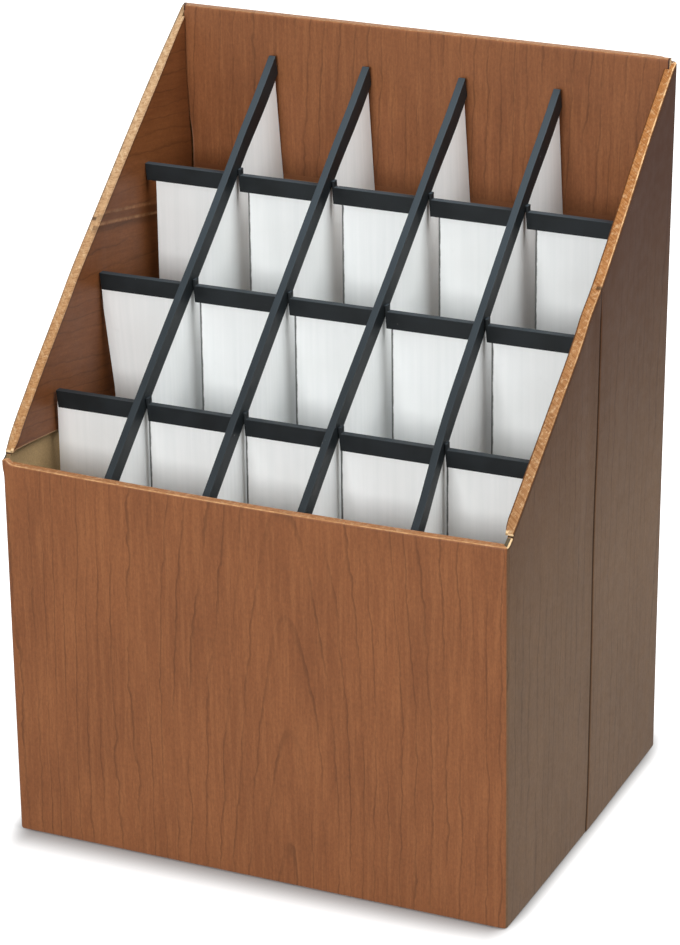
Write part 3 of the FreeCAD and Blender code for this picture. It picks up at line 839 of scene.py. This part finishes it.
def printed_board(name, pith, wood_tones, rim, top_painted_shade=0.0, specular=0.24):
    """Woodgrain print under varnish, paler over the rim fold, rubbed along folds, cuts and the crease, with
    painted shade and painted highlights at the rim, gaps, crease and wrinkles.

    rim holds the fold's finish: flat its colours at the front and at the top, paler than the print as worn
    fibres and as painted sheen, band their share, edge and edge_share those of its outer line, wear with a
    painted highlight where bright and painted shade where grey, lined and below_rim_shade the darkness of its
    outlines and of the painted shade line just below the rim, slant the lean of its fibres, chip and tip the
    colours of the low and the high corners, lip and lip_line those of the front lip, a patch of painted shade
    and its outline. top_painted_shade is painted shade that darkens the top.
    """
    material, tree, surface = new_material(name)
    sheet = sheet_place(tree)
    height = split(sheet)[1]
    across = attribute(tree, "fold_across")
    ragged = noise(sheet, 520.0, 3.0, 0.6)
    patchy = between(noise(sheet, 130.0, 3.0, 0.6), 0.40, 0.62, 0.3, 1.0)
    down = wandering(attribute(tree, "fold_gap"), ragged, 0.0007)
    beside = wandering(across, ragged, 0.08)
    upper = between(height, 0.32, 0.50)

    def ragged_gap(gap, width):
        return scaled(ragged, width, gap)

    # The print, darkened towards the top by painted shade, and the rim fold
    deep, middle, light = map(colour, wood_tones)
    wood = use(WOODGRAIN, Sheet=sheet, Deep=deep, Middle=middle, Light=light, Pith=pith)
    seen = painted(wood["Colour"], between(height, 0.16, 0.50), top_painted_shade, (64, 30, 12))
    # A dark line just below the rim is painted shade where the face turns into the fold
    shade_line_below_rim = window(down, 0.0004, 0.0010, 0.0013, 0.0030)
    seen = painted(seen, shade_line_below_rim, rim["below_rim_shade"], (62, 38, 22))
    on_rim = between(down, 0.0007, 0.0003)
    tan, fibre_height = rim_fold(sheet, rim, on_rim, across, height, upper)
    seen = blended(times(on_rim, rim["band"]), seen, tan)
    by_rim = between(down, 0.0012, 0.0005)
    outline = calc("MAXIMUM", between(beside, 0.83, 0.90), between(beside, 0.09, 0.05))
    seen = painted(seen, times(outline, by_rim), rim["lined"], (92, 56, 30))
    # The rim's outer line is wear with a painted highlight where its tone is bright and painted shade where
    # it is grey, stronger towards the top
    edge_share = between(upper, 0.0, 1.0, *rim["edge_share"])
    near_edge = times(window(beside, 0.05, 0.08, 0.14, 0.20), by_rim, patchy)
    seen = painted(seen, near_edge, edge_share, rim["edge"])

    # Corners
    corner_gap = attribute(tree, "corner_gap")
    corner = use(FOLD_WEAR, Sheet=sheet, Gap=corner_gap, Width=0.0013, Breakup=1.6)
    seen = painted(seen, corner["Mask"], 0.15, (150, 84, 54))
    corner_away = ragged_gap(calc("ADD", calc("MAXIMUM", corner_gap, 0.0), down), 0.0018)
    chipped = blended(upper, rim["chip"], rim["tip"])
    seen = blended(between(corner_away, 0.0032, 0.0022), seen, chipped)

    # Toe, crease and wrinkles
    toe = ragged_gap(attribute(tree, "toe_gap"), 0.0008)
    seen = painted(seen, between(toe, 0.0018, 0.0011), 0.8, (178, 142, 104))
    # The crease's dark line is painted shade in its groove; the pale scuff beside it is wear
    crease = attribute(tree, "crease_gap")
    dark = between(calc("ABSOLUTE", crease), 0.0018, 0.0005)
    seen = painted(seen, dark, 0.75, (46, 30, 20))
    ridge = calc("SUBTRACT", crease, 0.0015)
    scuff = use(FOLD_WEAR, Sheet=sheet, Gap=ridge, Width=0.0006, Breakup=1.4)
    seen = painted(seen, scuff["Mask"], 0.22, (150, 104, 74))
    # The wrinkles are painted shade below each crease line and a painted highlight along it
    for above, strength in ((0.0, 1.0), (WRINKLE_STEP, 0.7)):
        wrinkle = ragged_gap(calc("SUBTRACT", attribute(tree, "wrinkle_gap"), above), 0.0012)
        under = window(wrinkle, -0.0075, -0.0016, -0.0008, 0.0002)
        seen = painted(seen, under, 0.45 * strength, (44, 26, 14))
        wrinkle_highlight = times(window(wrinkle, -0.0004, 0.0008, 0.0010, 0.0032), patchy)
        seen = painted(seen, wrinkle_highlight, 0.34 * strength, (206, 164, 118))

    # The cut step, the back flap's ends, and the front lip of the sides
    cut = attribute(tree, "cut_gap")
    # Dark under the band's end at the step is painted shadow; the pale line is its cut edge
    seen = painted(seen, window(cut, -0.0002, 0.0, 0.0080, 0.0095), 1.0, (60, 42, 26))
    seen = painted(seen, window(cut, -0.0004, 0.0, 0.0011, 0.0018), 1.0, (238, 204, 158))
    # A pale line down the back flap's left end is wear with a painted highlight; dark lines at its seams are
    # painted shadow in the gaps
    end, seam = [ragged_gap(attribute(tree, gap), 0.0006) for gap in ("end_gap", "seam_gap")]
    seen = painted(seen, between(end, 0.0015, 0.0009), 0.55, (172, 122, 94))
    seen = painted(seen, between(seam, 0.0019, 0.0012), 0.9, (44, 20, 14))
    # The front lip of each side is a patch of painted shade, outlined dark on the left and pale on the right
    on_lip = between(attribute(tree, "lip_share"), 0.3, 0.7)
    on_lip = times(on_lip, between(across, 0.005, 0.02))
    seen = painted(seen, on_lip, 1.0, rim["lip"])
    seen = painted(seen, on_lip, between(beside, 0.19, 0.14), rim["lip_line"])

    gloss = noise(sheet, 90.0, 3.0)
    join(between(gloss, 0.3, 0.7, 0.43, 0.49), surface, "Roughness")
    surface.inputs["Specular IOR Level"].default_value = specular
    surfaced(surface, seen, calc("ADD", fibre_height, wood["Height"]))
    return material


def kraft_liner():
    """Unprinted kraft: fibres both ways, flecks, and the flutes showing through."""
    material, tree, surface = new_material("kraft_liner")
    tone = (184, 154, 108)
    place = object_place(tree)
    fibres = noise(place, 700.0, 4.0, 0.7)
    clouds = noise(place, 22.0, 3.0)
    flecks = between(noise(place, 1600.0, 1.0), 0.70, 0.78)
    base = blended(between(fibres, 0.3, 0.7), dimmed(0.86, tone), tone)
    base = blended(between(clouds, 0.3, 0.7, 0.0, 0.35), base, dimmed(0.82, tone))
    base = painted(base, flecks, 0.4, (84, 62, 38))
    surface.inputs["Roughness"].default_value = 0.85
    x, y = split(place)[:2]
    flutes = flute_wave(calc("ADD", x, y))
    height = scaled(flutes, 0.00005, times(fibres, 0.0001))
    surfaced(surface, base, height, 0.7)
    return material


def cut_edge(name, paper, hollow_shade):
    """Cut edge of corrugated board: two liners and the wave of the fluting between them, with the hollows
    between painted dark as shade.
    """
    material, tree, surface = new_material(name)
    along, depth = split(sheet_place(tree))[:2]
    depth = calc("DIVIDE", depth, BOARD)
    middle = scaled(flute_wave(along), 0.36, 0.5)
    off_wave = calc("ABSOLUTE", calc("SUBTRACT", depth, middle))
    off_middle = calc("ABSOLUTE", calc("SUBTRACT", depth, 0.5))
    flute = between(off_wave, 0.11, 0.06)
    liner = between(off_middle, 0.38, 0.41)
    paper_here = calc("MAXIMUM", flute, liner)
    fuzz = noise(object_place(tree), 900.0, 3.0, 0.7)
    pale = blended(between(fuzz, 0.3, 0.7), dimmed(0.82, paper), paper)
    surface.inputs["Roughness"].default_value = 0.9
    height = scaled(paper_here, 0.0006, times(fuzz, 0.0002))
    surfaced(surface, blended(paper_here, hollow_shade, pale), height, 0.5)
    return material


def white_liner():
    """Matt white liner: faint upright flute streaks, soft waves, a little grime, and a painted shadow line
    along each slot's edge.
    """
    material, tree, surface = new_material("white_liner")
    sheet = sheet_place(tree)
    streak = grain(sheet, 240, 6, 3.0, 0.6)
    clouds = noise(sheet, 14.0, 3.0)
    grime = between(noise(sheet, 60.0, 4.0, 0.6), 0.62, 0.8)
    base = blended(between(streak, 0.3, 0.7), (243, 246, 246), (249, 251, 251))
    base = painted(base, between(clouds, 0.35, 0.7), 0.4, (238, 240, 238))
    base = painted(base, grime, 0.08, (180, 178, 170))
    # A dark line along each slot's right edge is painted shadow
    ragged = grain(sheet, 90, 90, 3.0, 0.6)
    slot_gap = wandering(attribute(tree, "slot_gap"), ragged, 0.0014)
    base = painted(base, between(slot_gap, 0.0017, 0.0009), 0.9, (46, 48, 44))
    surface.inputs["Roughness"].default_value = 0.72
    waves = noise(sheet, 12.0, 2.0)
    height = scaled(flute_wave(split(sheet)[0]), 0.00003, times(waves, 0.003))
    surfaced(surface, base, scaled(streak, 0.00004, height))
    return material


def cap_plastic():
    """Extruded black plastic: cloudy sheen, pale nicks, and a painted sheen on its upper faces, lighter
    towards the rear.
    """
    material, tree, surface = new_material("cap_plastic")
    place = object_place(tree)
    clouds = noise(place, 40.0, 3.0)
    fine = noise(place, 1400.0, 2.0)
    specks = between(noise(place, 260.0, 4.0, 0.7), 0.66, 0.80)
    nicks = between(noise(place, 190.0, 1.0), 0.80, 0.84)
    base = blended(between(clouds, 0.3, 0.7), (21, 25, 27), (28, 33, 36))
    # Upper faces are lighter, more so towards the rear: a painted sheen
    facing_up = split(source(tree, "NewGeometry").outputs["Normal"])[2]
    sheen_to_rear = between(split(place)[1], -0.10, 0.13, 0.22, 0.85)
    base = painted(base, between(facing_up, 0.45, 0.65), sheen_to_rear, (66, 76, 83))
    base = painted(base, specks, 0.30, (84, 90, 94))
    base = painted(base, nicks, 0.6, (200, 200, 196))
    join(between(clouds, 0.3, 0.7, 0.42, 0.54), surface, "Roughness")
    surface.inputs["Specular IOR Level"].default_value = 0.22
    surfaced(surface, base, scaled(clouds, 0.0002, times(fine, 0.00002)))
    return material


# Finishes of the carton
WOOD = ((130, 79, 47), (142, 88, 53), (162, 105, 65))
# The sides' prints are the same cherry as WOOD: the left copy is darker as painted shade, the right copy
# darker and greyer as painted shade and painted sheen
LEFT_WOOD_PAINTED_SHADE = ((108, 63, 34), (118, 71, 39), (130, 80, 46))
RIGHT_WOOD_PAINTED_SHADE_SHEEN = ((117, 92, 71), (123, 97, 75), (131, 103, 78))
# Rim tones: the flats, paler than the print, are worn fibres with painted sheen; bright edges are painted
# highlights and grey ones painted shade; the lips are painted shade
FRONT_RIM = {
    "flat": ((176, 124, 80), (176, 124, 80)), "band": 0.8, "slant": 0.0, "lined": 0.0, "below_rim_shade": 0.1,
    "edge": (212, 166, 118), "edge_share": (0.8, 0.8), "chip": (190, 138, 92), "tip": (160, 110, 76),
    "lip": (150, 104, 66), "lip_line": (90, 56, 32),
}
BACK_RIM = FRONT_RIM | {
    "flat": ((186, 140, 100), (186, 140, 100)), "band": 0.6, "below_rim_shade": 0.0,
    "edge": (150, 132, 112), "edge_share": (0.7, 0.7), "tip": (120, 78, 52),
}
LEFT_RIM = {
    "flat": ((184, 138, 92), (208, 172, 132)), "band": 1.0, "slant": -0.93, "lined": 0.3, "below_rim_shade": 0.5,
    "edge": (122, 108, 88), "edge_share": (0.8, 1.0), "chip": (226, 192, 146), "tip": (92, 54, 32),
    "lip": (122, 98, 66), "lip_line": (46, 34, 22),
}
RIGHT_RIM = {
    "flat": ((168, 124, 84), (178, 122, 72)), "band": 1.0, "slant": -1.22, "lined": 0.9, "below_rim_shade": 0.8,
    "edge": (236, 196, 146), "edge_share": (0.2, 1.0), "chip": (232, 200, 154),
    "tip": (214, 176, 138), "lip": (92, 82, 66), "lip_line": (228, 196, 150),
}


# Building the object


def carton():
    """The four walls and the four inner flaps, each in place of its node, and the kraft base and tab."""
    kraft = kraft_liner()
    kraft_edge = cut_edge("kraft_cut_edge", (214, 180, 134), (80, 58, 38))
    front, back, left, right = [
        [print_finish, kraft, kraft_edge] for print_finish in (
            printed_board("front_print", 0.022, WOOD, FRONT_RIM),
            printed_board("back_print", 1.10, WOOD, BACK_RIM),
            printed_board("left_print", -0.75, LEFT_WOOD_PAINTED_SHADE, LEFT_RIM),
            # The right print is darkened towards its top by painted shade
            printed_board("right_print", 0.56, RIGHT_WOOD_PAINTED_SHADE_SHEEN, RIGHT_RIM, top_painted_shade=0.9, specular=0.05),
        )
    ]
    made = {
        "front_panel": upright_wall("front_wall", False, front, 44),
        "back_panel": upright_wall("back_wall", True, back, 60),
        "left_side_panel": side_wall("left_wall", "left", left, 56),
        "right_side_panel": side_wall("right_wall", "right", right, 56),
        "front_inner_flap": upright_flap("front_rim_flap", False, front),
        "back_inner_flap": upright_flap("back_rim_flap", True, back),
        "left_inner_flap": side_flap("left_rim_flap", "left", left),
        "right_inner_flap": side_flap("right_rim_flap", "right", right),
    }
    for node, piece in made.items():
        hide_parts(node)
        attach(piece, "carton")
    for node in [f"bottom_flap_{side}" for side in ("front", "rear", "left", "right")] + ["glue_tab"]:
        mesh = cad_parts[node].data
        mesh.materials.clear()
        mesh.materials.append(kraft)


def partition():
    """The boards and caps of the partition, each a bent copy in place of its node."""
    board_finish = [white_liner(), cut_edge("white_cut_edge", (232, 226, 214), (120, 108, 92))]
    cap_finish = [cap_plastic()] * 2
    names = {f"long_divider_{n}": f"long_board_{n}" for n in range(1, 5)}
    names |= {f"long_cap_{n}": f"long_edge_cap_{n}" for n in range(1, 5)}
    names |= {f"cross_divider_{row}": f"cross_board_{row}" for row in ROWS}
    names |= {f"cross_cap_{row}_{n}": f"{row}_edge_cap_{n}" for row in ROWS for n in range(1, 6)}
    for node, name in names.items():
        grid = (0, GRID_ALONG) if "long" in node else (GRID_ALONG, 0)
        if "divider" in node:
            piece = bent_copy(node, name, (*grid, GRID_UP), board_finish)
        else:
            piece = bent_copy(node, name, grid, cap_finish, CAP_ROUNDING)
        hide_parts(node)
        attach(piece, "partition")


# Stage, light and camera


def camera_and_reflected(tree):
    """Whether a ray comes from the camera, and whether it is a glossy or a transmitted one."""
    rays = source(tree, "LightPath").outputs
    return rays["Is Camera Ray"], calc("MAXIMUM", rays["Is Glossy Ray"], rays["Is Transmission Ray"])


def floor_material():
    """Pale floor: it glows white away from the carton's footprint and less towards it, which paints shadow
    beside the base on top of the lamps' own shadow.
    """
    material, tree, surface = new_material("floor_paper")
    surface.inputs["Base Color"].default_value = (0.45, 0.45, 0.45, 1.0)
    surface.inputs["Roughness"].default_value = 0.9
    surface.inputs["Specular IOR Level"].default_value = 0.0
    place = split(object_place(tree))
    past = []
    for axis, (half, round_off, pinch) in enumerate(((HALF_WIDTH, 0.012, 2.7), (HALF_DEPTH, 0.0324, 1.0))):
        beyond = calc("SUBTRACT", calc("ABSOLUTE", place[axis]), half - round_off)
        past.append(times(calc("MAXIMUM", beyond, 0.0), pinch))
    squares = scaled(past[0], past[0], times(past[1], past[1]))
    away = calc("SUBTRACT", calc("SQRT", squares), 0.0324)
    # The glow fades towards the footprint, faster at the sides than at the front and back: a painted shadow
    # round the base
    glow_and_painted_shadow = calc("ADD", between(away, -0.006, 0.042), between(away, 0.03, 0.3, 0.0, 0.25))
    seen, reflected = camera_and_reflected(tree)
    seen = times(seen, glow_and_painted_shadow)
    surface.inputs["Emission Color"].default_value = (1.0, 1.0, 1.0, 1.0)
    join(calc("MAXIMUM", seen, times(reflected, 0.55)), surface, "Emission Strength")
    return material


def stage():
    """A wide floor just under the object, and a plain world that only the camera and gloss see as white."""
    mesh = bpy.data.meshes.new("floor")
    corners = [(x, y, -0.0003) for x, y in ((-12, -12), (12, -12), (12, 12), (-12, 12))]
    mesh.from_pydata(corners, [], [(0, 1, 2, 3)])
    mesh.materials.append(floor_material())
    new_object("floor", mesh)
    world = bpy.data.worlds.new("studio")
    bpy.context.scene.world = world
    world.use_nodes = True
    tree = world.node_tree
    sky = tree.nodes["Background"]
    seen = calc("MAXIMUM", *camera_and_reflected(tree))
    join(scaled(seen, 0.79, 0.21), sky, "Strength")
    sky.inputs["Color"].default_value = (1.0, 1.0, 1.0, 1.0)


def soft_lamp(name, place, size, power):
    """A square lamp that points at the middle of the object."""
    lamp = bpy.data.lights.new(name, "AREA")
    lamp.shape = "SQUARE"
    lamp.size = size
    lamp.energy = power
    rig = new_object(name, lamp)
    rig.location = place
    rig.rotation_euler = (Vector((0, 0, 0.3)) - Vector(place)).to_track_quat("-Z", "Y").to_euler()


def camera():
    """The photograph's view, as fitted: where it looks, from how far, its roll and its focal length."""
    heading, dip, roll = -0.42388, 0.39867, -0.01211
    focal_pixels, image_height, sensor = 3710.911, 945, 36.0
    target, distance = Vector((-0.00000709, 0.0, 0.2535286)), 2.66913623
    ahead = Vector((math.sin(heading) * math.cos(dip), math.cos(heading) * math.cos(dip), -math.sin(dip)))
    level = Vector((math.cos(heading), -math.sin(heading), 0.0))
    upward = level.cross(ahead)
    right = level * math.cos(roll) + upward * math.sin(roll)
    up = upward * math.cos(roll) - level * math.sin(roll)
    lens = bpy.data.cameras.new("camera")
    lens.sensor_width = sensor
    lens.lens = focal_pixels * sensor / image_height
    rig = new_object("camera", lens)
    turn = Matrix((right, up, -ahead)).transposed()
    rig.matrix_world = Matrix.Translation(target - ahead * distance) @ turn.to_4x4()
    bpy.context.scene.camera = rig


carton()
partition()
stage()
soft_lamp("key_lamp", (-0.1, -2.6, 1.15), 1.1, 46.5)
soft_lamp("top_lamp", (1.3, 0.2, 2.4), 1.6, 57)
camera()

bpy.context.scene.view_settings.view_transform = "Standard"
